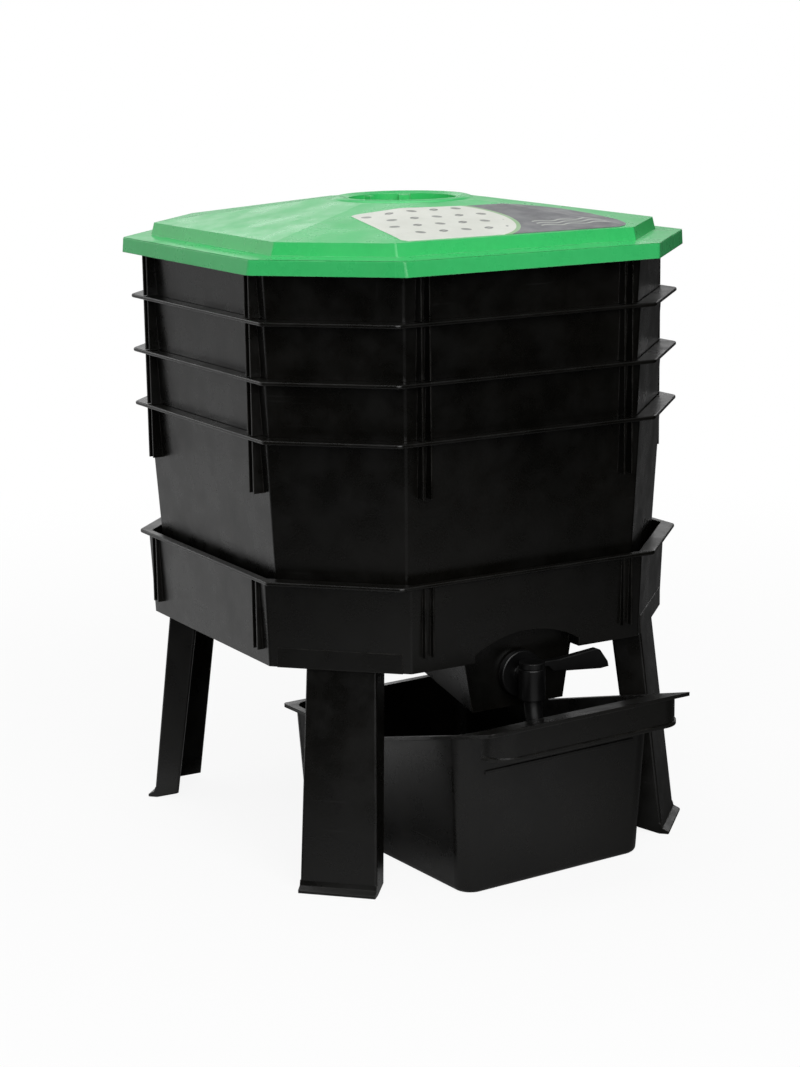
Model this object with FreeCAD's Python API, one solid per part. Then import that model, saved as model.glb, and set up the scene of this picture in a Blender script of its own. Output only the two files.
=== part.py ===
import FreeCAD, Part
import math
import os

# Wormery: nesting octagonal trays on a legged collecting base with a tap, and a loose bin under the tap.
# Millimetres, +Z up, ground at Z = 0. The stack's axis is the construction axis; at the end everything is
# moved along Y so that the origin is the middle of the footprint. The front (tap side) faces -Y.
# An octagon is given by its half width (flat to axis) and its chamfer distance (short side to axis).

# Rims and trays
RIM_HALF = 200.0
RIM_CHAMFER_EXTRA = 27.1
RIM_CHAMFER = RIM_HALF + RIM_CHAMFER_EXTRA
RIM_THICK = 3.3
RIM_ROUND = 1.3
RIM_OVERHANG = 8.5
RIM_CHAMFER_OVERHANG = 13.1
REST_GAP = 0.3
NEST_PITCH = 46.5
TRAY_COUNT = 4
TRAY_HALF = RIM_HALF - RIM_OVERHANG
TRAY_CHAMFER = RIM_CHAMFER - RIM_CHAMFER_OVERHANG
TRAY_DEPTH = 150.0
TRAY_DRAFT = 0.06
TRAY_WALL = 2.0
TRAY_FLOOR = 2.5
CORNER_ROUND = 3.0
FLOOR_HOLE_R = 3.5
FLOOR_HOLE_PITCH = 30.0
FLOOR_HOLE_EDGE = 22.0

# Pairs of stacking ribs under each rim
RIB_NEAR = 91.0
RIB_FAR = 100.0
RIB_THICK = 1.5
RIB_INSET = 2.0
RIB_OUT = RIM_HALF - RIB_INSET

# Base
BASE_BOTTOM_Z = 182.0
BASE_HEIGHT = 69.3
BASE_RIM_Z = BASE_BOTTOM_Z + BASE_HEIGHT
BASE_OVERHANG = 4.0
BASE_CHAMFER_OVERHANG = 10.1
BASE_TAPER = 3.0
BASE_TOP_HALF = RIM_HALF - BASE_OVERHANG
BASE_LOW_HALF = BASE_TOP_HALF - BASE_TAPER
BASE_LOW_CHAMFER = RIM_CHAMFER - BASE_CHAMFER_OVERHANG - BASE_TAPER
BASE_WALL = 2.5
BASE_RIB_LENGTH = 57.0
BASE_RIB_INSET = 1.5
BASE_RIB_OUT = RIM_HALF - BASE_RIB_INSET
SUPPORT_X = 70.0
SUPPORT_THICK = 2.5
SUPPORT_REACH = 21.0
SUPPORT_HEIGHT = 32.6
SUPPORT_IN = BASE_LOW_HALF - SUPPORT_REACH
PAD_HALF = 52.0
PAD_HEIGHT = 16.0
PAD_THICK = 1.4
PAD_TOP_Z = BASE_BOTTOM_Z + PAD_HEIGHT
PAD_OUT = BASE_LOW_CHAMFER + PAD_THICK

# The lowest tray rests on the base's supports, and the other trays nest in it
TRAY_1_RIM_Z = BASE_BOTTOM_Z + SUPPORT_HEIGHT + REST_GAP + TRAY_DEPTH
TOP_RIM_Z = TRAY_1_RIM_Z + (TRAY_COUNT - 1) * NEST_PITCH

# Arched tap recess in the base's front wall, and the sump pocket under the floor
RECESS_DEPTH = 15.0
SUMP_FRONT = BASE_LOW_HALF - RECESS_DEPTH
ARCH_HALF = 50.0
ARCH_SPRING_RISE = 7.0
ARCH_TOP_RISE = 21.0
ARCH_SPRING_Z = BASE_BOTTOM_Z + ARCH_SPRING_RISE
ARCH_TOP_Z = BASE_BOTTOM_Z + ARCH_TOP_RISE
SUMP_DEPTH = 46.0
SUMP_LOW_Z = BASE_BOTTOM_Z - SUMP_DEPTH
SUMP_LOW_HALF = 44.0
SUMP_TOP_HALF = 52.0

# Legs, in the frame of one leg: X outwards along the diagonal, Y sideways
LEG_ANGLES = {
    "leg_front_left": 225.0,
    "leg_front_right": 315.0,
    "leg_back_left": 135.0,
    "leg_back_right": 45.0,
}
LEG_SPLAY = 0.1154
LEG_BEHIND_PAD = 4.2
LEG_FOOT_OUT = PAD_OUT - LEG_BEHIND_PAD + LEG_SPLAY * BASE_BOTTOM_Z
LEG_FOOT_HALF = 32.3
LEG_NECK_HALF = 29.3
LEG_FOOT_DEPTH = 22.0
LEG_NECK_DEPTH = 26.0
LEG_WALL = 2.8
LEG_IN_SOCKET = 28.5
LEG_TOP_Z = BASE_BOTTOM_Z + LEG_IN_SOCKET
LEG_LIP_REACH = 5.8
LEG_LIP_OUT = LEG_FOOT_OUT + LEG_LIP_REACH
LEG_LIP_RISE = 9.0
LEG_HEEL_RISE = 5.0
SOCKET_GAP = 0.2
SOCKET_WALL = 2.5

# Lid, outside levels as (half width, chamfer distance, height)
LID_SKIRT_LOW = (RIM_HALF + 8.3, RIM_CHAMFER + 3.5, TOP_RIM_Z - 6.8)
LID_SKIRT_TOP = (RIM_HALF + 6.7, RIM_CHAMFER + 3.1, TOP_RIM_Z + 5.5)
LID_STEP_FOOT = (RIM_HALF - 16.4, RIM_CHAMFER - 18.1, TOP_RIM_Z + 6.4)
LID_STEP_TOP = (RIM_HALF - 19.3, RIM_CHAMFER - 20.4, TOP_RIM_Z + 16.9)
LID_FACET_TOP = (60.0, 68.6, TOP_RIM_Z + 35.6)
LID_WALL = 2.4
LID_COLLAR_RISE = 2.0
LID_TOP_Z = LID_FACET_TOP[2] + LID_COLLAR_RISE
WELL_R = 46.0
WELL_DEPTH = 14.0
WELL_RIB_ANGLE = 57.0
WELL_RIB_TURN = 45.0
WELL_RIB_WIDE = 9.5
WELL_RIB_NARROW = 4.3
WELL_RIB_IN = 8.0
LABEL_THICK = 0.4

# Tap: three-quarter inch tail through the sump's front wall
TAP_RISE = 28.0
TAP_Z = SUMP_LOW_Z + TAP_RISE
TAIL_R = 13.1
TAIL_HOLE_R = 13.4
TAIL_LENGTH = 18.0
TAIL_IN = SUMP_FRONT - TAIL_LENGTH
FLANGE_R = 19.5
FLANGE_THICK = 5.0
WASHER_R = 18.5
WASHER_THICK = 2.0
NUT_FLAT = 17.0
NUT_THICK = 7.0
NUT_BORE_R = 13.2
VALVE_REACH = 21.0
VALVE_Y = SUMP_FRONT + VALVE_REACH
VALVE_R = 11.0
VALVE_BELOW = 18.0
VALVE_ABOVE = 8.3
VALVE_LOW_Z = TAP_Z - VALVE_BELOW
VALVE_TOP_Z = TAP_Z + VALVE_ABOVE
BARREL_R = 8.0
INLET_R = 5.0
INLET_DROP = 3.0
PLUG_R = 7.9
PLUG_GAP = 0.08
PLUG_SEAT = 4.0
PLUG_LOW_Z = VALVE_LOW_Z + PLUG_SEAT
SPOUT_BORE_R = 5.0
SPOUT_LENGTH = 20.5
SPOUT_TIP_Z = VALVE_LOW_Z - SPOUT_LENGTH
RING_WIRE_R = 0.75
RING_DROP = 3.8
RING_Z = VALVE_TOP_Z - RING_DROP
LEVER_THICK = 5.2
LEVER_TOP_Z = VALVE_TOP_Z + LEVER_THICK
LEVER_PEAK_RISE = 2.5
LEVER_PEAK_Z = LEVER_TOP_Z + LEVER_PEAK_RISE
LEVER_LENGTH = 74.0
LEVER_HALF_WIDTH = 3.6

# Collecting bin, in its own frame: Y from the stack's axis, turned and moved when it is set in place
BIN_TURN = 3.5
BIN_FRONT_X = 10.5
BIN_PAST_TAP = 20.0
BIN_LENGTH = 255.0
BIN_FRONT = VALVE_Y + BIN_PAST_TAP
BIN_BACK = BIN_LENGTH - BIN_FRONT
BIN_HALF = 91.3
BIN_DRAFT = 0.0495
BIN_CORNER = 16.0
BIN_FOOT_ROUND = 5.0
BIN_WALL = 2.2
BIN_RIM_Z = 101.0
BIN_RISE_LENGTH = 134.0
BIN_LIP = 4.5
BIN_LIP_THICK = 3.0
BIN_BEAD = 1.2
HANDLE_REACH = 48.0
HANDLE_RISE = 48.0
HANDLE_OUT = BIN_FRONT + HANDLE_REACH
HANDLE_TOP_Z = BIN_RIM_Z + HANDLE_RISE
HANDLE_LIP = 1.2
BAND_WIDER = 3.4
BAND_HALF = BIN_HALF + BAND_WIDER
BAND_RISE = 22.0
BAND_LOW_Z = BIN_RIM_Z + BAND_RISE
BAND_CORNER = 20.0
BAND_THICK = 2.4

ROOT_2 = math.sqrt(2.0)
PARTS = {}


def vec(x, y, z):
    return FreeCAD.Vector(x, y, z)


def octagon_points(half, chamfer, z):
    side = chamfer * ROOT_2 - half
    corners = [(half, -side), (half, side), (side, half), (-side, half)]
    corners += [(-half, side), (-half, -side), (-side, -half), (side, -half)]
    return [vec(x, y, z) for x, y in corners]


def closed_wire(points):
    return Part.makePolygon(points + points[:1])


def frustum(low, high):
    return Part.makeLoft([closed_wire(low), closed_wire(high)], True, True)


def octagon_frustum(low, high):
    return frustum(octagon_points(*low), octagon_points(*high))


def prism_x(profile, x_low, x_high):
    face = Part.Face(closed_wire([vec(x_low, y, z) for y, z in profile]))
    return face.extrude(vec(x_high - x_low, 0, 0))


def prism_y(profile, y_low, y_high):
    face = Part.Face(closed_wire([vec(x, y_low, z) for x, z in profile]))
    return face.extrude(vec(0, y_high - y_low, 0))


def prism_z(outline, z_low, z_high):
    face = Part.Face(closed_wire([vec(x, y, z_low) for x, y in outline]))
    return face.extrude(vec(0, 0, z_high - z_low))


def block(x_low, x_high, y_low, y_high, z_low, z_high):
    size = (x_high - x_low, y_high - y_low, z_high - z_low)
    return Part.makeBox(size[0], size[1], size[2], vec(x_low, y_low, z_low))


def rod_y(radius, y_low, y_high, x=0.0, z=0.0):
    return Part.makeCylinder(radius, y_high - y_low, vec(x, y_low, z), vec(0, 1, 0))


def rod_z(radius, z_low, z_high, x=0.0, y=0.0):
    return Part.makeCylinder(radius, z_high - z_low, vec(x, y, z_low), vec(0, 0, 1))


def turned(shape, angle):
    copy = shape.copy()
    copy.rotate(vec(0, 0, 0), vec(0, 0, 1), angle)
    return copy


def upright_edges(shape):
    edges = []
    for edge in shape.Edges:
        ends = [v.Point for v in edge.Vertexes]
        if len(ends) == 2 and abs(ends[0].z - ends[1].z) > 1.0:
            edges.append(edge)
    return edges


def rounded(shape, radius):
    return shape.makeFillet(radius, upright_edges(shape))


def at_draft(low_half, low_chamfer, low_z, draft, z):
    grow = draft * (z - low_z)
    return (low_half + grow, low_chamfer + grow, z)


def rim_plate(z):
    low = (RIM_HALF, RIM_CHAMFER, z)
    plate = rounded(octagon_frustum(low, (RIM_HALF, RIM_CHAMFER, z + RIM_THICK)), 2.0 * CORNER_ROUND)
    flat = [e for e in plate.Edges if e.BoundBox.ZLength < 0.01]
    return plate.makeFillet(RIM_ROUND, flat)


def rib_webs(out, inner, z_low, z_high):
    """Two thin webs at both ends of every long side, standing out to the distance `out`."""
    webs = []
    starts = [RIB_NEAR, RIB_FAR - RIB_THICK, -RIB_NEAR - RIB_THICK, -RIB_FAR]
    for quarter in range(4):
        for start in starts:
            web = block(start, start + RIB_THICK, -out, -inner, z_low, z_high)
            webs.append(turned(web, 90.0 * quarter))
    return webs


# Trays: one shape, four times
def make_tray():
    """One tray with its rim's underside at Z = 0."""
    low_half = TRAY_HALF - TRAY_DRAFT * TRAY_DEPTH
    low_chamfer = TRAY_CHAMFER - TRAY_DRAFT * TRAY_DEPTH
    top_z = RIM_THICK + 1.0

    def level(z, inward):
        return at_draft(low_half - inward, low_chamfer - inward, -TRAY_DEPTH, TRAY_DRAFT, z)

    body = rounded(octagon_frustum(level(-TRAY_DEPTH, 0.0), level(0.5, 0.0)), CORNER_ROUND)
    hollow = octagon_frustum(level(-TRAY_DEPTH + TRAY_FLOOR, TRAY_WALL), level(top_z, TRAY_WALL))
    hollow = rounded(hollow, CORNER_ROUND - TRAY_WALL)
    web_low = -(NEST_PITCH - RIM_THICK - REST_GAP)
    webs = rib_webs(RIB_OUT, TRAY_HALF - 4.0, web_low, 0.5)
    tray = body.fuse([rim_plate(0.0)] + webs).cut(hollow)
    holes = []
    count = int(low_half / FLOOR_HOLE_PITCH)
    for i in range(-count, count + 1):
        for j in range(-count, count + 1):
            x = i * FLOOR_HOLE_PITCH
            y = j * FLOOR_HOLE_PITCH
            inside_flats = max(abs(x), abs(y)) < low_half - FLOOR_HOLE_EDGE
            inside_chamfers = (abs(x) + abs(y)) / ROOT_2 < low_chamfer - FLOOR_HOLE_EDGE
            if inside_flats and inside_chamfers:
                holes.append(rod_z(FLOOR_HOLE_R, -TRAY_DEPTH - 1.0, -TRAY_DEPTH + TRAY_FLOOR + 1.0, x, y))
    return tray.cut(holes).removeSplitter()


tray = make_tray()
for number in range(TRAY_COUNT):
    placed = tray.copy()
    placed.translate(vec(0, 0, TRAY_1_RIM_Z + number * NEST_PITCH))
    PARTS["tray_%d" % (number + 1)] = placed

tray_bottom_z = TRAY_1_RIM_Z - TRAY_DEPTH
support_z = tray_bottom_z - REST_GAP


# Legs: channels open towards the axis, splayed outwards, with a flared foot
def leg_section(z, grow=0.0):
    """Outer face, inner edge and half width of a leg at a height."""
    share = z / BASE_BOTTOM_Z
    out = LEG_FOOT_OUT - LEG_SPLAY * z
    half = LEG_FOOT_HALF + (LEG_NECK_HALF - LEG_FOOT_HALF) * share
    depth = LEG_FOOT_DEPTH + (LEG_NECK_DEPTH - LEG_FOOT_DEPTH) * share
    return out + grow, out - depth - grow, half + grow


def section_points(out, inner, half, z):
    return [vec(out, -half, z), vec(out, half, z), vec(inner, half, z), vec(inner, -half, z)]


def leg_envelope(z_low, z_high, grow=0.0):
    low = section_points(*leg_section(z_low, grow), z_low)
    high = section_points(*leg_section(z_high, grow), z_high)
    return frustum(low, high)


def make_leg():
    body = rounded(leg_envelope(0.0, LEG_TOP_Z), 2.0)

    def channel_points(z):
        out, inner, half = leg_section(z)
        return section_points(out - LEG_WALL, inner - 5.0, half - LEG_WALL, z)

    channel = frustum(channel_points(-1.0), channel_points(LEG_TOP_Z + 1.0))
    lip_high = leg_section(LEG_LIP_RISE)[0]
    wall_in = LEG_FOOT_OUT - LEG_WALL
    lip_profile = [(wall_in, 0.0), (LEG_LIP_OUT, 0.0), (LEG_LIP_OUT, 2.2), (lip_high + 1.2, 5.0)]
    lip_profile += [(lip_high, LEG_LIP_RISE), (lip_high - LEG_WALL, LEG_LIP_RISE)]
    lip = prism_y(lip_profile, -LEG_FOOT_HALF, LEG_FOOT_HALF)
    lip = lip.makeFillet(1.0, [e for e in lip.Edges if e.BoundBox.XMin > LEG_LIP_OUT - 0.01])
    heel_in = LEG_FOOT_OUT - LEG_FOOT_DEPTH
    heel = [(wall_in, -1.0), (wall_in, 0.0), (heel_in - 1.0, LEG_HEEL_RISE), (heel_in - 1.0, -1.0)]
    leg = body.cut(channel).fuse(lip)
    return leg.cut(prism_y(heel, -60.0, 60.0)).removeSplitter()


leg = make_leg()
for name, angle in LEG_ANGLES.items():
    PARTS[name] = turned(leg, angle)


# Base: collecting shell with rim, ribs, tap recess, sump, tray supports and leg sockets
def arch_profile(half, spring_z, top_z, low_z):
    left = vec(-half, 0, spring_z)
    right = vec(half, 0, spring_z)
    low_left = vec(-half, 0, low_z)
    low_right = vec(half, 0, low_z)
    arc = Part.Arc(right, vec(0, 0, top_z), left).toShape()
    sides = [(left, low_left), (low_left, low_right), (low_right, right)]
    edges = [arc] + [Part.LineSegment(a, b).toShape() for a, b in sides]
    return Part.Face(Part.Wire(edges))


def arch_prism(half, spring_z, top_z, low_z, y_out, y_in):
    face = arch_profile(half, spring_z, top_z, low_z)
    face.translate(vec(0, -y_out, 0))
    return face.extrude(vec(0, y_out - y_in, 0))


def sump_solid(inward, top_z):
    """The pocket's outside (inward 0) or its hollow: upright front, bottom rising rearwards."""
    slope = (BASE_BOTTOM_Z - SUMP_LOW_Z) / SUMP_FRONT
    low_z = SUMP_LOW_Z + inward
    front = SUMP_FRONT - inward
    rear_y = (top_z - low_z) / slope - SUMP_FRONT
    side = prism_x([(-front, low_z), (-front, top_z), (rear_y, top_z)], -SUMP_TOP_HALF, SUMP_TOP_HALF)
    taper = (SUMP_TOP_HALF - SUMP_LOW_HALF) / (BASE_BOTTOM_Z - SUMP_LOW_Z)
    top_half = SUMP_LOW_HALF + taper * (top_z - SUMP_LOW_Z) - inward
    bottom_half = SUMP_LOW_HALF - taper * 1.0 - inward
    below_z = SUMP_LOW_Z - 1.0
    profile = [(-bottom_half, below_z), (bottom_half, below_z), (top_half, top_z), (-top_half, top_z)]
    return side.common(prism_y(profile, -SUMP_FRONT, rear_y + 1.0))


def make_base():
    floor_z = BASE_BOTTOM_Z + BASE_WALL
    slope = (BASE_TOP_HALF - BASE_LOW_HALF) / (BASE_RIM_Z - BASE_BOTTOM_Z)

    def level(z, inward):
        return at_draft(BASE_LOW_HALF - inward, BASE_LOW_CHAMFER - inward, BASE_BOTTOM_Z, slope, z)

    shell = rounded(octagon_frustum(level(BASE_BOTTOM_Z, 0.0), level(BASE_RIM_Z + 0.5, 0.0)), CORNER_ROUND)
    pad = block(BASE_LOW_CHAMFER - 4.0, PAD_OUT, -PAD_HALF, PAD_HALF, BASE_BOTTOM_Z, PAD_TOP_Z)
    webs = rib_webs(BASE_RIB_OUT, BASE_LOW_HALF - 1.5, BASE_RIM_Z - BASE_RIB_LENGTH, BASE_RIM_Z + 0.5)
    outside = shell.fuse([rim_plate(BASE_RIM_Z), sump_solid(0.0, floor_z)] + webs)
    outside = outside.fuse([turned(pad, angle) for angle in LEG_ANGLES.values()])
    recess_low_z = BASE_BOTTOM_Z - 60.0
    recess_out = RIM_HALF + 40.0
    recess = arch_prism(ARCH_HALF, ARCH_SPRING_Z, ARCH_TOP_Z, recess_low_z, recess_out, SUMP_FRONT)
    outside = outside.cut(recess)

    hollow = octagon_frustum(level(floor_z, BASE_WALL), level(BASE_RIM_Z + RIM_THICK + 1.0, BASE_WALL))
    hollow = hollow.fuse(sump_solid(BASE_WALL, floor_z + 1.0))
    alcove_half = ARCH_HALF + BASE_WALL
    alcove_spring = ARCH_SPRING_Z + BASE_WALL
    alcove_top = ARCH_TOP_Z + BASE_WALL
    alcove_in = SUMP_FRONT - BASE_WALL
    alcove = arch_prism(alcove_half, alcove_spring, alcove_top, recess_low_z, recess_out, alcove_in)
    hollow = hollow.cut(alcove)

    # Supports on the long sides: webs between floor and wall whose flat tops carry the lowest tray
    in_wall_low = BASE_LOW_HALF - 1.0
    in_wall_high = level(support_z, 1.0)[0]
    profile = [(-in_wall_low, floor_z - 1.0), (-SUPPORT_IN, floor_z - 1.0)]
    profile += [(-SUPPORT_IN, support_z), (-in_wall_high, support_z)]
    inside = []
    for quarter in range(4):
        for x in (-SUPPORT_X, SUPPORT_X):
            web = prism_x(profile, x - SUPPORT_THICK / 2.0, x + SUPPORT_THICK / 2.0)
            inside.append(turned(web, 90.0 * quarter))

    # Leg sockets: closed boxes behind the pads, whose flat tops also carry the lowest tray
    box_in = leg_section(LEG_TOP_Z, SOCKET_GAP)[1] - SOCKET_WALL
    box_half = leg_section(BASE_BOTTOM_Z, SOCKET_GAP)[2] + SOCKET_WALL
    box = block(box_in, BASE_LOW_CHAMFER - 1.0, -box_half, box_half, BASE_BOTTOM_Z, support_z)
    socket = leg_envelope(BASE_BOTTOM_Z - 1.0, LEG_TOP_Z + SOCKET_GAP, SOCKET_GAP)
    inside += [turned(box, angle) for angle in LEG_ANGLES.values()]
    sockets = [turned(socket, angle) for angle in LEG_ANGLES.values()]

    tap_hole = rod_y(TAIL_HOLE_R, -SUMP_FRONT - 1.0, -SUMP_FRONT + BASE_WALL + 1.0, 0.0, TAP_Z)
    base = outside.cut(hollow).fuse(inside)
    return base.cut(sockets + [tap_hole]).removeSplitter()


PARTS["base"] = make_base()


# Lid: skirt, flange, step and eight facets rising to a collar round the sunk grip
def lid_outside():
    levels = [LID_SKIRT_LOW, LID_SKIRT_TOP, LID_STEP_FOOT, LID_STEP_TOP, LID_FACET_TOP]
    pieces = [octagon_frustum(levels[i], levels[i + 1]) for i in range(len(levels) - 1)]
    skirt = rounded(pieces[0], 4.0)
    skirt = skirt.makeFillet(1.2, [e for e in skirt.Edges if e.BoundBox.ZMin > LID_SKIRT_TOP[2] - 0.01])
    step = rounded(pieces[2], 3.0)
    facet_z = LID_FACET_TOP[2]
    profile = [(WELL_R, facet_z - 8.0), (64.0, facet_z - 8.0), (64.0, facet_z - 2.5)]
    profile += [(58.5, LID_TOP_Z - 0.8), (55.5, LID_TOP_Z), (52.5, LID_TOP_Z), (WELL_R, facet_z + 0.3)]
    ring = Part.Face(closed_wire([vec(r, 0, z) for r, z in profile]))
    collar = ring.revolve(vec(0, 0, 0), vec(0, 0, 1), 360.0)
    return skirt.fuse([pieces[1], step, pieces[3], collar]), pieces[3]


def lowered(level, inward, drop):
    return (level[0] - inward, level[1] - inward, level[2] - drop)


def make_lid():
    outside, facets = lid_outside()
    flange_z = TOP_RIM_Z + RIM_THICK + REST_GAP
    skirt_low = lowered(LID_SKIRT_LOW, LID_WALL, 1.0)
    skirt_high = (LID_SKIRT_TOP[0] - LID_WALL, LID_SKIRT_TOP[1] - LID_WALL, flange_z)
    step_low = (LID_STEP_FOOT[0] - LID_WALL, LID_STEP_FOOT[1] - LID_WALL, flange_z - 0.5)
    step_high = lowered(LID_STEP_TOP, LID_WALL, LID_WALL)
    facet_high = lowered(LID_FACET_TOP, 0.0, LID_WALL)
    hollow = octagon_frustum(skirt_low, skirt_high)
    hollow = hollow.fuse([octagon_frustum(step_low, step_high), octagon_frustum(step_high, facet_high)])
    well_floor = LID_TOP_Z - WELL_DEPTH
    cup = rod_z(WELL_R + LID_WALL, well_floor - LID_WALL, LID_TOP_Z)
    lid = outside.cut(hollow.cut(cup)).cut(rod_z(WELL_R, well_floor, LID_TOP_Z + 5.0))
    ribs = []
    rib_in = WELL_R - WELL_RIB_IN
    rib_low = well_floor - 1.0
    rib_top = LID_FACET_TOP[2] - 0.5
    next_angle = WELL_RIB_ANGLE + WELL_RIB_TURN
    for start, width in ((WELL_RIB_ANGLE, WELL_RIB_WIDE), (next_angle, WELL_RIB_NARROW)):
        rib = block(rib_in, WELL_R + 1.0, -width / 2.0, width / 2.0, rib_low, rib_top)
        for half_turn in (0.0, 180.0):
            ribs.append(turned(rib, start + half_turn))
    return lid.fuse(ribs).removeSplitter(), facets


lid, lid_facets = make_lid()
PARTS["lid"] = lid

# Label: a thin sheet that follows the facets under it
label_outline = [(-91.0, -74.0), (-97.0, -125.0), (-102.5, -172.0), (-98.0, -177.5)]
label_outline += [(100.0, -177.5), (108.0, -174.0), (117.0, -162.0), (122.0, -143.0)]
label_outline += [(115.0, -113.0), (101.0, -92.0), (84.0, -84.0), (66.0, -80.0)]
label_outline += [(14.0, -80.0), (-86.0, -71.5)]
label_prism = prism_z(label_outline, LID_STEP_TOP[2] - 2.0, LID_TOP_Z)
raised_facets = lid_facets.copy()
raised_facets.translate(vec(0, 0, LABEL_THICK))
PARTS["lid_label"] = raised_facets.common(label_prism).cut(lid_facets)


# Tap
def make_tap_body():
    face_y = -SUMP_FRONT - WASHER_THICK
    tail = rod_y(TAIL_R, face_y - 1.0, -TAIL_IN, 0.0, TAP_Z)
    tail = tail.makeChamfer(1.0, [e for e in tail.Edges if e.BoundBox.YMin > -TAIL_IN - 0.01])
    flange_y = face_y - FLANGE_THICK
    flange = rod_y(FLANGE_R, flange_y, face_y, 0.0, TAP_Z)
    flange = flange.makeFillet(1.2, [e for e in flange.Edges if e.BoundBox.YMax < flange_y + 0.01])
    barrel = rod_y(BARREL_R, -VALVE_Y, face_y - 1.0, 0.0, TAP_Z)
    valve = rod_z(VALVE_R, VALVE_LOW_Z, VALVE_TOP_Z, 0.0, -VALVE_Y)
    valve = valve.makeFillet(1.0, [e for e in valve.Edges if e.BoundBox.ZLength < 0.01])

    def spout_wire(z, y, radius):
        return Part.Wire(Part.makeCircle(radius, vec(0, y, z), vec(0, 0, 1)))

    stations = [(VALVE_LOW_Z + 2.0, 0.0), (VALVE_LOW_Z - 6.0, 0.6)]
    stations += [(SPOUT_TIP_Z + 8.0, 2.2), (SPOUT_TIP_Z, 4.6)]
    outer = [spout_wire(z, -VALVE_Y - bend, 8.4 - 0.35 * i) for i, (z, bend) in enumerate(stations)]
    bore = [spout_wire(z, -VALVE_Y - bend, SPOUT_BORE_R) for z, bend in stations[:-1]]
    bore.append(spout_wire(SPOUT_TIP_Z - 1.0, -VALVE_Y - stations[-1][1] - 0.3, SPOUT_BORE_R))
    spout = Part.makeLoft(outer, True, False)
    spout_bore = Part.makeLoft(bore, True, False)
    body = tail.fuse([flange, barrel, valve, spout])
    inlet = rod_y(INLET_R, -VALVE_Y, -TAIL_IN + 1.0, 0.0, TAP_Z - INLET_DROP)
    plug_bore = rod_z(PLUG_R + PLUG_GAP, PLUG_LOW_Z - 0.3, VALVE_TOP_Z + 1.0, 0.0, -VALVE_Y)
    throat = rod_z(SPOUT_BORE_R, VALVE_LOW_Z + 1.0, PLUG_LOW_Z, 0.0, -VALVE_Y)
    return body.cut([inlet, plug_bore, throat, spout_bore]).removeSplitter()


def make_plug():
    body = rod_z(PLUG_R, PLUG_LOW_Z, VALVE_TOP_Z + 0.3, 0.0, -VALVE_Y)
    stem = block(-3.5, 3.5, -VALVE_Y - 3.5, -VALVE_Y + 3.5, VALVE_TOP_Z, LEVER_TOP_Z - 1.5)
    port = Part.makeCylinder(INLET_R, PLUG_R + 2.0, vec(0, -VALVE_Y, TAP_Z - INLET_DROP), vec(-1, 0, 0))
    outlet = rod_z(SPOUT_BORE_R, PLUG_LOW_Z - 1.0, TAP_Z, 0.0, -VALVE_Y)
    groove_r = PLUG_R - 2.0 * RING_WIRE_R
    groove = rod_z(PLUG_R + 1.0, RING_Z - RING_WIRE_R - 0.1, RING_Z + RING_WIRE_R + 0.1, 0.0, -VALVE_Y)
    groove = groove.cut(rod_z(groove_r, RING_Z - 3.0, RING_Z + 3.0, 0.0, -VALVE_Y))
    return body.fuse(stem).cut([port, outlet, groove]).removeSplitter()


def make_lever():
    hub_low = VALVE_TOP_Z + 0.3
    hub = rod_z(VALVE_R - 0.5, hub_low, LEVER_TOP_Z)
    under = hub_low - 5.8
    tip = LEVER_LENGTH
    profile = [(4.0, hub_low), (13.0, hub_low), (19.0, under), (tip - 8.0, under - 4.3), (tip, under - 3.6)]
    profile += [(tip - 1.0, under + 1.0), (tip - 8.5, LEVER_PEAK_Z - 1.5), (tip - 12.0, LEVER_PEAK_Z)]
    profile += [(24.0, LEVER_TOP_Z - 1.0), (4.0, LEVER_TOP_Z - 0.5)]
    blade = prism_y(profile, -LEVER_HALF_WIDTH, LEVER_HALF_WIDTH)
    faces = [e for e in blade.Edges if e.BoundBox.YLength < 0.01]
    blade = blade.makeFillet(1.3, [e for e in faces if e.BoundBox.XMax > 15.0])
    socket = block(-3.6, 3.6, -3.6, 3.6, hub_low - 1.0, LEVER_TOP_Z - 1.4)
    lever = hub.fuse(blade).cut(socket).removeSplitter()
    lever.translate(vec(0, -VALVE_Y, 0))
    return lever


PARTS["tap_body"] = make_tap_body()
PARTS["tap_plug"] = make_plug()
PARTS["tap_lever"] = make_lever()
ring_gap = 0.02
ring_r = PLUG_R - RING_WIRE_R + ring_gap
PARTS["tap_o_ring"] = Part.makeTorus(ring_r, RING_WIRE_R, vec(0, -VALVE_Y, RING_Z), vec(0, 0, 1))


def washer(y_low):
    ring = rod_y(WASHER_R, y_low, y_low + WASHER_THICK, 0.0, TAP_Z)
    return ring.cut(rod_y(TAIL_HOLE_R, y_low - 1.0, y_low + WASHER_THICK + 1.0, 0.0, TAP_Z))


sump_inner_y = -SUMP_FRONT + BASE_WALL
PARTS["tap_washer_outer"] = washer(-SUMP_FRONT - WASHER_THICK)
PARTS["tap_washer_inner"] = washer(sump_inner_y)
nut_y = sump_inner_y + WASHER_THICK
corner_r = NUT_FLAT / math.cos(math.pi / 6.0)
sixths = [math.radians(60.0 * i) for i in range(6)]
hexagon = [(corner_r * math.cos(a), corner_r * math.sin(a)) for a in sixths]
nut = prism_y([(x, TAP_Z + z) for x, z in hexagon], nut_y, nut_y + NUT_THICK)
PARTS["tap_back_nut"] = nut.cut(rod_y(NUT_BORE_R, nut_y - 1.0, nut_y + NUT_THICK + 1.0, 0.0, TAP_Z))


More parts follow.
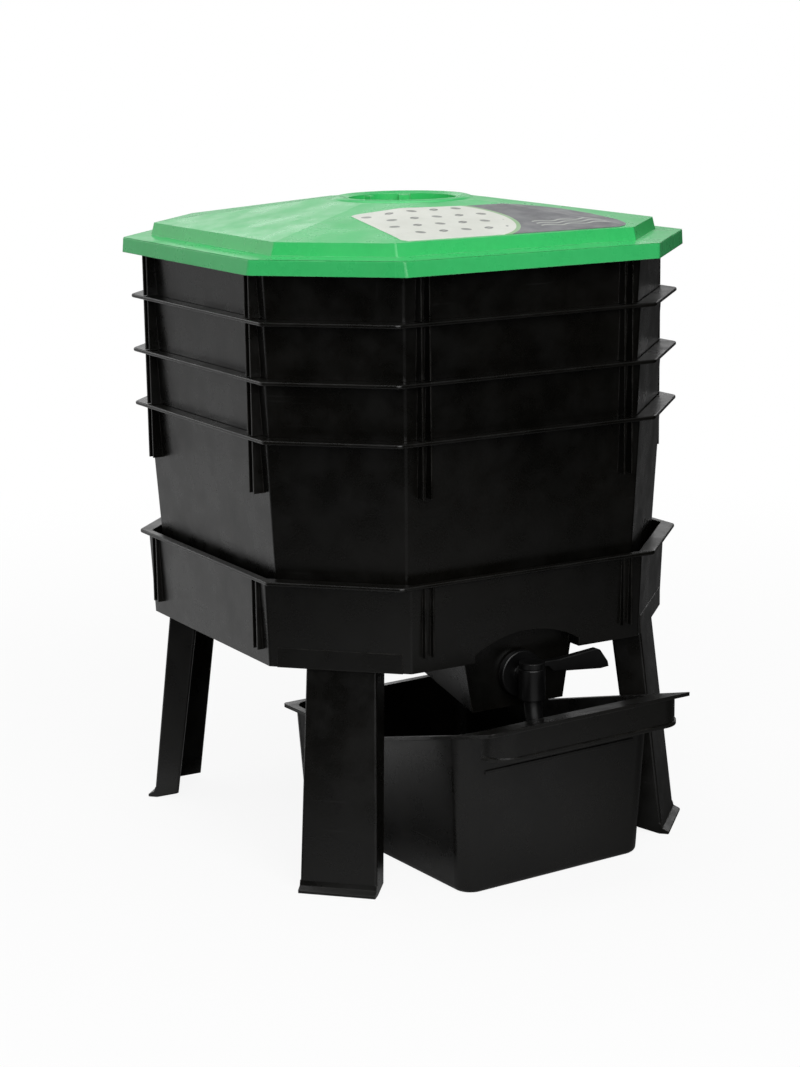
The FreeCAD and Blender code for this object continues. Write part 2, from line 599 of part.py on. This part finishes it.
# Collecting bin
def bin_box(inward, z_low, z_high, corner):
    def rectangle(z):
        grow = BIN_DRAFT * z - inward
        half = BIN_HALF + grow
        front = -BIN_FRONT - grow
        back = BIN_BACK + grow
        return [vec(half, front, z), vec(half, back, z), vec(-half, back, z), vec(-half, front, z)]

    return rounded(frustum(rectangle(z_low), rectangle(z_high)), corner)


def bin_top_line(drop):
    """Side view of the bin's top edge: level at the back, rising to the end of the handle."""
    rise_start = BIN_FRONT - BIN_RISE_LENGTH
    rise = (HANDLE_TOP_Z - BIN_RIM_Z) / (HANDLE_OUT - rise_start)
    front = HANDLE_OUT + 20.0
    front_z = HANDLE_TOP_Z + 20.0 * rise
    return [(BIN_BACK + 40.0, BIN_RIM_Z - drop), (-rise_start, BIN_RIM_Z - drop), (-front, front_z - drop)]


def band_column(outward):
    """The handle's band, filled, from below its lower edge to above its top."""
    half = BAND_HALF + outward
    front = HANDLE_OUT + outward
    column = block(-half, half, -front, -front + 60.0, 0.0, HANDLE_TOP_Z + 20.0)
    corners = [e for e in upright_edges(column) if e.BoundBox.YMax < -front + 1.0]
    return column.makeFillet(BAND_CORNER + outward, corners)


def make_bin():
    top_z = HANDLE_TOP_Z + 20.0
    outside = bin_box(0.0, 0.0, top_z, BIN_CORNER)
    low_edges = [e for e in outside.Edges if e.BoundBox.ZMax < 0.01]
    outside = outside.makeFillet(BIN_FOOT_ROUND, low_edges)
    hollow = bin_box(BIN_WALL, BIN_WALL, top_z + 1.0, BIN_CORNER - BIN_WALL)
    line = bin_top_line(0.0)
    below = prism_x(line + [(line[-1][0], -5.0), (line[0][0], -5.0)], -200.0, 200.0)
    sheet = prism_x(line + bin_top_line(BIN_LIP_THICK)[::-1], -200.0, 200.0)

    # Lip all round, widening in front into the handle
    side = BIN_HALF + BIN_DRAFT * BIN_RIM_Z + BIN_LIP
    back = BIN_BACK + BIN_DRAFT * BIN_RIM_Z + BIN_LIP
    front = -HANDLE_OUT - HANDLE_LIP
    lip = sheet.common(rounded(block(-side, side, front, back, 0.0, top_z), BIN_CORNER / 4.0))

    # Band turned down from the handle's front and round its corners, with a bead along its lower edge
    zone_front = -HANDLE_OUT - 5.0
    zone_back = -HANDLE_OUT + BAND_CORNER
    bead_top = BAND_LOW_Z + BIN_LIP_THICK
    band_zone = block(-200.0, 200.0, zone_front, zone_back, BAND_LOW_Z, top_z)
    bead_zone = block(-200.0, 200.0, zone_front, zone_back, BAND_LOW_Z, bead_top)
    band = band_column(0.0).common(band_zone)
    bead = band_column(BIN_BEAD).common(bead_zone)
    band = band.fuse(bead).cut(band_column(-BAND_THICK)).common(below)

    # Bead across the front wall, just above the height of the rim
    bead_half = BIN_HALF - BIN_CORNER
    wall_y = -BIN_FRONT - BIN_DRAFT * BIN_RIM_Z
    bead_high = BIN_RIM_Z + BIN_LIP_THICK
    wall_bead = block(-bead_half, bead_half, wall_y - BIN_BEAD, wall_y + 1.5, BIN_RIM_Z, bead_high)
    tub = outside.common(below).fuse([lip, band, wall_bead]).cut(hollow).removeSplitter()
    tub.rotate(vec(0, -BIN_FRONT, 0), vec(0, 0, 1), BIN_TURN)
    tub.translate(vec(BIN_FRONT_X, 0, 0))
    return tub


PARTS["collection_bin"] = make_bin()

# Set the origin in the middle of the footprint, write the parts and report their sizes
everything = Part.makeCompound(list(PARTS.values()))
box = everything.optimalBoundingBox(False, False)
shift_y = -(box.YMin + box.YMax) / 2.0
os.makedirs("parts", exist_ok=True)
for name, shape in PARTS.items():
    shape.translate(vec(0, shift_y, 0))
    if shape.ShapeType == "Compound" and len(shape.Solids) == 1:
        shape = shape.Solids[0]
    bounds = shape.BoundBox
    corners = (bounds.XMin, bounds.YMin, bounds.ZMin, bounds.XMax, bounds.YMax, bounds.ZMax)
    report = (name, len(shape.Solids), shape.isValid(), shape.Volume / 1000.0)
    print("%-18s solids %d valid %s %9.1f cm3" % report, " ".join("%8.2f" % v for v in corners))
    shape.exportStep(os.path.join("parts", name + ".step"))
print("shift along Y %.4f" % shift_y)
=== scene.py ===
import math

import bpy
from mathutils import Matrix, Vector

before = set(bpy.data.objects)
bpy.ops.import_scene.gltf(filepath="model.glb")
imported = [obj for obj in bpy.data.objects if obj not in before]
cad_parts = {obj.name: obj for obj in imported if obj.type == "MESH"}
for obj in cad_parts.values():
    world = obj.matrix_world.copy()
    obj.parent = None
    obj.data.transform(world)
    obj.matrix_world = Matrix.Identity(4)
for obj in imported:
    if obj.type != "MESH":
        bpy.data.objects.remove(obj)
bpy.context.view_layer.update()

# Lengths are in metres, colours are linear. The stack's axis stands this far behind the model's origin
AXIS_Y = 0.03286

# Camera: place and turn found from the object's own edges in the picture, angles in degrees
CAMERA_AZIMUTH = -30.05
CAMERA_ELEVATION = 12.29
CAMERA_ROLL = -0.826
CAMERA_PLACE = (-1.0351, -1.7774 + AXIS_Y, 0.696)
CAMERA_REACH = 100.0
PICTURE_WIDTH = 800.0
FOCAL_PIXELS = 2404.8
SENSOR_WIDTH = 36.0

# Moulded plastic
EDGE_RADIUS = 0.0008
WORN_EDGE_RADIUS = 0.0016
WORN_SHARE = 0.22
DUST_SHARE = 0.08
LEVEL_STREAKS = (9.0, 9.0, 260.0)
UPRIGHT_STREAKS = (240.0, 240.0, 5.0)
SAG_DEPTH = 0.0016
SKIN_DEPTH = 0.00018
MARK_DEPTH = 0.00008
PLASTIC_IOR = 1.5

# Label, measured from the stack's axis. A pair is where a soft step starts and ends
CREAM_END_X = -0.038
CREAM_END_Y = -0.121
CREAM_END_RADIUS = 0.0645
BAND_STARTS = (-0.0018, -0.0012)
BAND_ENDS = (0.0016, 0.0022)
ROW_START = -0.0755
ROW_STEP = 0.0225
MARK_STEP = 0.0210
MARK_LONG = 0.0050
MARK_SHORT = 0.0037
MARK_LEAN = 0.55
MARKS_LEFT_EDGE = (-0.091, -0.089)
MARKS_FRONT_EDGE = (-0.170, -0.168)
MARKS_END = (-0.007, -0.009)
MARK_LINE = (0.00055, 0.0003)
RIPPLE_ROWS = (-0.1585, -0.1515, -0.1445)
RIPPLE_LINE = (0.0013, 0.0009)
RIPPLE_HEIGHT = 0.0018
RIPPLE_TURN = 260.0
RIPPLE_LEFT = (0.036, 0.038)
RIPPLE_RIGHT = (0.104, 0.102)
FILM_IOR = 1.6

# Colours
SHELL_DARK, SHELL_LIGHT = (0.0012, 0.0011, 0.0007, 1), (0.0026, 0.0023, 0.0016, 1)
SHELL_DUST = (0.040, 0.037, 0.031, 1)
TAP_DARK, TAP_LIGHT = (0.0016, 0.0016, 0.0017, 1), (0.0034, 0.0034, 0.0035, 1)
TAP_DUST = (0.040, 0.040, 0.040, 1)
GREEN_DARK, GREEN_LIGHT = (0.040, 0.525, 0.140, 1), (0.052, 0.585, 0.166, 1)
GREEN_DUST = (0.36, 0.54, 0.40, 1)
RUBBER_DARK, RUBBER_LIGHT = (0.010, 0.010, 0.010, 1), (0.022, 0.021, 0.020, 1)
CREAM_DARK, CREAM_LIGHT = (0.72, 0.74, 0.67, 1), (0.79, 0.81, 0.74, 1)
GREY_DARK, GREY_LIGHT = (0.130, 0.133, 0.143, 1), (0.162, 0.166, 0.178, 1)
MARK_COLOUR = (0.10, 0.11, 0.10, 1)
RIPPLE_COLOUR = (0.62, 0.66, 0.60, 1)
BAND_COLOUR = (0.30, 0.52, 0.26, 1)
FILM_DUST = (0.42, 0.43, 0.38, 1)
FLOOR_PALE = (0.9, 0.9, 0.9, 1)
WHITE = (1.0, 1.0, 1.0, 1.0)

# Floor
FLOOR_SIZE = 60.0
SMALLEST_REACH = 0.01


class Graph:
    """One node tree, with short calls for the nodes that the materials use."""

    def __init__(self, tree):
        self.nodes = tree.nodes
        self.links = tree.links

    def add(self, kind, **settings):
        node = self.nodes.new(kind)
        for name, value in settings.items():
            setattr(node, name, value)
        return node

    def put(self, socket, value):
        """Give a socket a fixed value or another node's output."""
        if isinstance(value, bpy.types.NodeSocket):
            self.links.new(value, socket)
        else:
            socket.default_value = value

    def math(self, operation, a, b=0.0, clamp=False):
        node = self.add("ShaderNodeMath", operation=operation, use_clamp=clamp)
        self.put(node.inputs[0], a)
        self.put(node.inputs[1], b)
        return node.outputs[0]

    def plus(self, a, b):
        return self.math("ADD", a, b)

    def minus(self, a, b):
        return self.math("SUBTRACT", a, b)

    def times(self, a, b):
        return self.math("MULTIPLY", a, b)

    def over(self, a, b):
        return self.math("DIVIDE", a, b)

    def greater(self, a, b):
        return self.math("MAXIMUM", a, b)

    def size(self, a):
        return self.math("ABSOLUTE", a)

    def one_minus(self, a):
        return self.math("SUBTRACT", 1.0, a)

    def spread(self, value, low, high, to_low=0.0, to_high=1.0):
        """A soft step: to_low until low, to_high from high on."""
        node = self.add("ShaderNodeMapRange", interpolation_type="SMOOTHSTEP")
        settings = {"Value": value, "From Min": low, "From Max": high, "To Min": to_low, "To Max": to_high}
        for name, number in settings.items():
            self.put(node.inputs[name], number)
        return node.outputs["Result"]

    def mix(self, share, a, b):
        node = self.add("ShaderNodeMix", data_type="RGBA")
        self.put(node.inputs["Factor"], share)
        self.put(node.inputs["A"], a)
        self.put(node.inputs["B"], b)
        return node.outputs["Result"]

    def place(self, kind="Object"):
        return self.add("ShaderNodeTexCoord").outputs[kind]

    def parts(self, vector):
        """The three coordinates of a vector."""
        node = self.add("ShaderNodeSeparateXYZ")
        self.links.new(vector, node.inputs[0])
        return node.outputs["X"], node.outputs["Y"], node.outputs["Z"]

    def noise(self, where, scale, detail=3.0, roughness=0.5):
        node = self.add("ShaderNodeTexNoise")
        self.put(node.inputs["Vector"], where)
        node.inputs["Scale"].default_value = scale
        node.inputs["Detail"].default_value = detail
        node.inputs["Roughness"].default_value = roughness
        return node.outputs["Fac"]

    def stretched(self, where, scales):
        node = self.add("ShaderNodeMapping")
        self.put(node.inputs["Vector"], where)
        node.inputs["Scale"].default_value = scales
        return node.outputs["Vector"]

    def bump(self, height, distance, strength, normal=None):
        node = self.add("ShaderNodeBump")
        self.put(node.inputs["Height"], height)
        node.inputs["Distance"].default_value = distance
        node.inputs["Strength"].default_value = strength
        if normal is not None:
            self.put(node.inputs["Normal"], normal)
        return node.outputs["Normal"]

    def face_normal(self):
        return self.add("ShaderNodeNewGeometry").outputs["Normal"]

    def softened(self, radius):
        """The normal of a shape whose edges are rounded off by a mould's radius."""
        soft = self.add("ShaderNodeBevel", samples=6)
        soft.inputs["Radius"].default_value = radius
        return soft.outputs["Normal"]

    def edge_mask(self, radius):
        """1 along sharp edges, 0 on flat stretches."""
        dot = self.add("ShaderNodeVectorMath", operation="DOT_PRODUCT")
        self.links.new(self.softened(radius), dot.inputs[0])
        self.links.new(self.face_normal(), dot.inputs[1])
        return self.spread(dot.outputs["Value"], 0.995, 0.90)


def new_material(name):
    material = bpy.data.materials.new(name)
    material.use_nodes = True
    graph = Graph(material.node_tree)
    shader = next(n for n in graph.nodes if n.type == "BSDF_PRINCIPLED")
    return material, graph, shader


def moulded_plastic(name, dark, light, dust, roughness, grain=1.0):
    """Moulded plastic: slow colour drift, mottled gloss, fine skin, handling marks, worn edges, settled dust."""
    material, graph, shader = new_material(name)
    where = graph.place()
    drift = graph.noise(where, 7.0, detail=5.0, roughness=0.6)
    speckle = graph.noise(where, 160.0, roughness=0.6)
    tone = graph.plus(graph.times(drift, 0.75), graph.times(speckle, 0.25))
    colour = graph.mix(graph.spread(tone, 0.36, 0.64), dark, light)

    broken = graph.spread(graph.noise(where, 60.0, detail=4.0), 0.38, 0.62)
    worn = graph.times(graph.edge_mask(WORN_EDGE_RADIUS), broken)
    up = graph.spread(graph.parts(graph.face_normal())[2], 0.35, 0.95)
    patches = graph.spread(graph.noise(where, 22.0, detail=6.0, roughness=0.65), 0.35, 0.7)
    settled = graph.times(graph.times(up, patches), DUST_SHARE)
    share = graph.greater(settled, graph.times(worn, WORN_SHARE))
    graph.put(shader.inputs["Base Color"], graph.mix(share, colour, dust))

    mottle = graph.noise(where, 34.0, detail=4.0, roughness=0.6)
    mottle = graph.spread(mottle, 0.3, 0.7, to_low=roughness - 0.05, to_high=roughness + 0.07)
    level = graph.noise(graph.stretched(where, LEVEL_STREAKS), 1.0, detail=2.0)
    upright = graph.noise(graph.stretched(where, UPRIGHT_STREAKS), 1.0, detail=2.0)
    marks = graph.greater(graph.spread(level, 0.70, 0.78), graph.spread(upright, 0.72, 0.80))
    rough = graph.plus(mottle, graph.times(marks, 0.10))
    rough = graph.math("ADD", rough, graph.times(share, 0.35), clamp=True)
    graph.put(shader.inputs["Roughness"], rough)

    skin = graph.noise(where, 520.0, roughness=0.55)
    sag = graph.noise(where, 11.0, detail=2.0, roughness=0.4)
    normal = graph.bump(sag, SAG_DEPTH * grain, 0.35, graph.softened(EDGE_RADIUS))
    normal = graph.bump(skin, SKIN_DEPTH * grain, 0.35, normal)
    normal = graph.bump(marks, MARK_DEPTH, 0.25, normal)
    graph.put(shader.inputs["Normal"], normal)
    shader.inputs["IOR"].default_value = PLASTIC_IOR
    return material


def rubber(name):
    material, graph, shader = new_material(name)
    where = graph.place()
    tone = graph.spread(graph.noise(where, 120.0, detail=4.0), 0.3, 0.7)
    graph.put(shader.inputs["Base Color"], graph.mix(tone, RUBBER_DARK, RUBBER_LIGHT))
    rough = graph.spread(graph.noise(where, 300.0), 0.3, 0.7, to_low=0.62, to_high=0.82)
    graph.put(shader.inputs["Roughness"], rough)
    graph.put(shader.inputs["Normal"], graph.bump(graph.noise(where, 900.0), 0.00015, 0.4))
    return material


def seed_marks(graph, x, y, beyond):
    """Oval marks in staggered rows, each tilted one way or the other and split by a fine line."""
    row = graph.math("FLOOR", graph.over(graph.minus(y, ROW_START), ROW_STEP))
    odd = graph.math("PINGPONG", row, 1.0)
    shifted = graph.plus(x, graph.times(odd, MARK_STEP / 2))
    column = graph.math("FLOOR", graph.over(shifted, MARK_STEP))
    in_x = graph.minus(graph.minus(shifted, graph.times(column, MARK_STEP)), MARK_STEP / 2)
    in_y = graph.minus(y, graph.plus(graph.times(row, ROW_STEP), ROW_START + ROW_STEP / 2))

    turned = graph.math("PINGPONG", column, 1.0)
    lean = graph.minus(graph.times(turned, 2 * MARK_LEAN), MARK_LEAN)
    along = graph.plus(in_x, graph.times(in_y, lean))
    across = graph.minus(in_y, graph.times(in_x, lean))
    long_part = graph.math("POWER", graph.size(graph.over(along, MARK_LONG)), 2.0)
    short_part = graph.math("POWER", graph.size(graph.over(across, MARK_SHORT)), 2.0)
    mark = graph.spread(graph.plus(long_part, short_part), 1.15, 0.85)
    line = graph.spread(graph.size(across), *MARK_LINE)
    mark = graph.times(mark, graph.one_minus(graph.times(line, 0.6)))

    inside = graph.times(graph.spread(y, *MARKS_FRONT_EDGE), graph.spread(x, *MARKS_LEFT_EDGE))
    mark = graph.times(mark, inside)
    return graph.times(mark, graph.spread(beyond, *MARKS_END))


def ripples(graph, x, y):
    """Three wavy lines."""
    wave = graph.times(graph.math("SINE", graph.times(x, RIPPLE_TURN)), RIPPLE_HEIGHT)
    wavy_y = graph.plus(y, wave)
    lines = [graph.spread(graph.size(graph.minus(wavy_y, row)), *RIPPLE_LINE) for row in RIPPLE_ROWS]
    ripple = graph.greater(graph.greater(lines[0], lines[1]), lines[2])
    ends = graph.times(graph.spread(x, *RIPPLE_LEFT), graph.spread(x, *RIPPLE_RIGHT))
    return graph.times(ripple, ends)


def label_print(name):
    """Printed film: a cream panel with seed marks, a pale green band, and a grey panel with ripples."""
    material, graph, shader = new_material(name)
    where = graph.place()
    x, model_y, _ = graph.parts(where)
    y = graph.minus(model_y, AXIS_Y)

    # Distance outside the round right end of the cream panel, always negative to its left
    dx = graph.minus(x, CREAM_END_X)
    dy = graph.minus(y, CREAM_END_Y)
    dx_right = graph.greater(dx, 0.0)
    reach = graph.math("SQRT", graph.plus(graph.times(dx_right, dx_right), graph.times(dy, dy)))
    is_right = graph.math("GREATER_THAN", dx, 0.0)
    beyond = graph.times(graph.minus(reach, CREAM_END_RADIUS), is_right)
    beyond = graph.minus(beyond, graph.one_minus(is_right))
    on_grey = graph.spread(beyond, *BAND_ENDS)
    on_band = graph.times(graph.spread(beyond, *BAND_STARTS), graph.one_minus(on_grey))

    faded = graph.spread(graph.noise(where, 26.0, detail=5.0, roughness=0.6), 0.3, 0.7)
    cream = graph.mix(faded, CREAM_DARK, CREAM_LIGHT)
    cream = graph.mix(graph.times(seed_marks(graph, x, y, beyond), 0.86), cream, MARK_COLOUR)
    grey = graph.mix(faded, GREY_DARK, GREY_LIGHT)
    grey = graph.mix(graph.times(ripples(graph, x, y), 0.75), grey, RIPPLE_COLOUR)
    colour = graph.mix(on_grey, cream, grey)
    colour = graph.mix(on_band, colour, BAND_COLOUR)
    dusty = graph.noise(where, 45.0, detail=6.0, roughness=0.7)
    dusty = graph.spread(dusty, 0.5, 0.8, to_low=0.0, to_high=0.18)
    graph.put(shader.inputs["Base Color"], graph.mix(dusty, colour, FILM_DUST))
    rough = graph.spread(graph.noise(where, 70.0, detail=4.0), 0.3, 0.7, to_low=0.30, to_high=0.46)
    graph.put(shader.inputs["Roughness"], rough)
    shader.inputs["IOR"].default_value = FILM_IOR
    graph.put(shader.inputs["Normal"], graph.bump(graph.noise(where, 420.0), 0.00008, 0.3))
    return material


def dress():
    """Give every CAD part its material."""
    shell_black = moulded_plastic("shell_black", SHELL_DARK, SHELL_LIGHT, SHELL_DUST, 0.29)
    tap_black = moulded_plastic("tap_black", TAP_DARK, TAP_LIGHT, TAP_DUST, 0.32, grain=0.6)
    lid_green = moulded_plastic("lid_green", GREEN_DARK, GREEN_LIGHT, GREEN_DUST, 0.29, grain=0.5)
    seal_rubber = rubber("seal_rubber")
    printed_film = label_print("printed_film")
    materials = {
        "lid": lid_green,
        "lid_label": printed_film,
        "tap_body": tap_black,
        "tap_plug": tap_black,
        "tap_lever": tap_black,
        "tap_back_nut": tap_black,
        "tap_washer_outer": seal_rubber,
        "tap_washer_inner": seal_rubber,
        "tap_o_ring": seal_rubber,
    }
    for name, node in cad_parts.items():
        for material_slot in node.material_slots:
            material_slot.material = materials.get(name, shell_black)


def floor_tone(graph, reach, x, y):
    """Brightness of the floor in reflections, for a spot this far out in the direction x, y."""
    near = graph.greater(reach, SMALLEST_REACH)
    backwards = graph.spread(graph.over(y, near), -0.15, 0.50)
    sideways = graph.over(x, near)
    rightwards = graph.spread(sideways, 0.15, 0.85, to_high=0.86)
    leftwards = graph.spread(sideways, -0.84, -0.98, to_high=0.60)
    ahead = graph.spread(reach, 0.30, 1.35, to_low=0.48, to_high=0.003)
    behind = graph.spread(reach, 0.45, 1.30, to_low=0.78)
    tone = graph.plus(ahead, graph.times(backwards, graph.minus(behind, ahead)))
    return graph.times(tone, graph.one_minus(graph.plus(rightwards, leftwards)))


def make_floor():
    """Floor: pale all over as the camera sees it, with a faint shadow. As a reflected surface it is bright
    behind and beside the object and darkens towards the front, like a lit sheet that ends in front."""
    bpy.ops.mesh.primitive_plane_add(size=FLOOR_SIZE, location=(0.0, 0.0, 0.0))
    floor = bpy.context.object
    floor.name = "floor"
    material = bpy.data.materials.new("floor_white")
    material.use_nodes = True
    graph = Graph(material.node_tree)
    graph.nodes.clear()
    out = graph.add("ShaderNodeOutputMaterial")
    x, y, _ = graph.parts(graph.place())
    reach = graph.math("SQRT", graph.plus(graph.times(x, x), graph.times(y, y)))

    grey = graph.add("ShaderNodeCombineColor")
    tone = floor_tone(graph, reach, x, y)
    for socket in grey.inputs[:3]:
        graph.put(socket, tone)
    lit = graph.add("ShaderNodeBsdfDiffuse")
    graph.links.new(grey.outputs[0], lit.inputs["Color"])

    pale = graph.add("ShaderNodeBsdfDiffuse")
    pale.inputs["Color"].default_value = FLOOR_PALE
    white = graph.add("ShaderNodeEmission")
    white.inputs["Strength"].default_value = 1.0
    seen = graph.add("ShaderNodeMixShader")
    graph.put(seen.inputs[0], graph.spread(reach, 0.35, 1.6, to_low=0.90))
    graph.links.new(pale.outputs[0], seen.inputs[1])
    graph.links.new(white.outputs[0], seen.inputs[2])

    path = graph.add("ShaderNodeLightPath")
    both = graph.add("ShaderNodeMixShader")
    graph.links.new(path.outputs["Is Camera Ray"], both.inputs[0])
    graph.links.new(lit.outputs[0], both.inputs[1])
    graph.links.new(seen.outputs[0], both.inputs[2])
    graph.links.new(both.outputs[0], out.inputs["Surface"])
    floor.data.materials.append(material)


def make_world():
    """World: white to the camera; light from above and behind, little from the front and the right."""
    world = bpy.data.worlds.new("studio")
    bpy.context.scene.world = world
    world.use_nodes = True
    graph = Graph(world.node_tree)
    graph.nodes.clear()
    out = graph.add("ShaderNodeOutputWorld")
    x, y, z = graph.parts(graph.place("Generated"))

    behind = graph.spread(y, -0.22, 0.42, to_low=0.008, to_high=0.74)
    behind = graph.times(behind, graph.spread(z, 0.30, 0.46, to_low=1.0, to_high=0.4))
    right = graph.spread(x, 0.10, 0.75, to_high=0.93)
    level = graph.times(behind, graph.one_minus(right))
    low_edge = graph.times(graph.spread(z, 0.14, 0.28), graph.spread(y, 0.1, 0.6))
    bright_strip = graph.times(low_edge, graph.spread(z, 0.235, 0.375, to_low=2.05, to_high=0.0))
    level = graph.plus(level, bright_strip)
    above = graph.spread(z, 0.55, 0.95)
    tone = graph.plus(level, graph.times(above, graph.minus(0.34, level)))

    seen = graph.add("ShaderNodeLightPath").outputs["Is Camera Ray"]
    strength = graph.plus(graph.times(seen, graph.one_minus(tone)), tone)
    sky = graph.add("ShaderNodeBackground")
    sky.inputs["Color"].default_value = WHITE
    graph.put(sky.inputs["Strength"], strength)
    graph.links.new(sky.outputs[0], out.inputs["Surface"])


def area_light(name, place, target, size, energy):
    light = bpy.data.lights.new(name, "AREA")
    light.shape = "SQUARE"
    light.size = size
    light.energy = energy
    lamp = bpy.data.objects.new(name, light)
    bpy.context.scene.collection.objects.link(lamp)
    lamp.location = place
    direction = lamp.location - Vector(target)
    lamp.rotation_euler = direction.to_track_quat("Z", "Y").to_euler()


def make_camera():
    azimuth, elevation, roll = (math.radians(a) for a in (CAMERA_AZIMUTH, CAMERA_ELEVATION, CAMERA_ROLL))
    level = math.cos(elevation)
    right = (math.cos(azimuth), math.sin(azimuth), 0.0)
    back = (math.sin(azimuth) * level, -math.cos(azimuth) * level, math.sin(elevation))
    up = tuple(back[(i + 1) % 3] * right[(i + 2) % 3] - back[(i + 2) % 3] * right[(i + 1) % 3] for i in range(3))
    cos_roll, sin_roll = math.cos(roll), math.sin(roll)
    across = [right[i] * cos_roll + up[i] * sin_roll for i in range(3)]
    upwards = [up[i] * cos_roll - right[i] * sin_roll for i in range(3)]
    data = bpy.data.cameras.new("camera")
    data.sensor_fit = "HORIZONTAL"
    data.sensor_width = SENSOR_WIDTH
    data.lens = SENSOR_WIDTH * FOCAL_PIXELS / PICTURE_WIDTH
    data.clip_end = CAMERA_REACH
    camera = bpy.data.objects.new("camera", data)
    bpy.context.scene.collection.objects.link(camera)
    rows = [[across[i], upwards[i], back[i], CAMERA_PLACE[i]] for i in range(3)] + [[0.0, 0.0, 0.0, 1.0]]
    camera.matrix_world = Matrix(rows)
    bpy.context.scene.camera = camera


dress()
make_floor()
make_world()
area_light("key", place=(-0.75, -2.3, 1.75), target=(0.0, 0.0, 0.35), size=2.8, energy=74.0)
area_light("top", place=(0.1, 0.4, 2.4), target=(0.0, 0.0, 0.4), size=1.8, energy=17.0)
make_camera()
bpy.context.scene.view_settings.view_transform = "Standard"
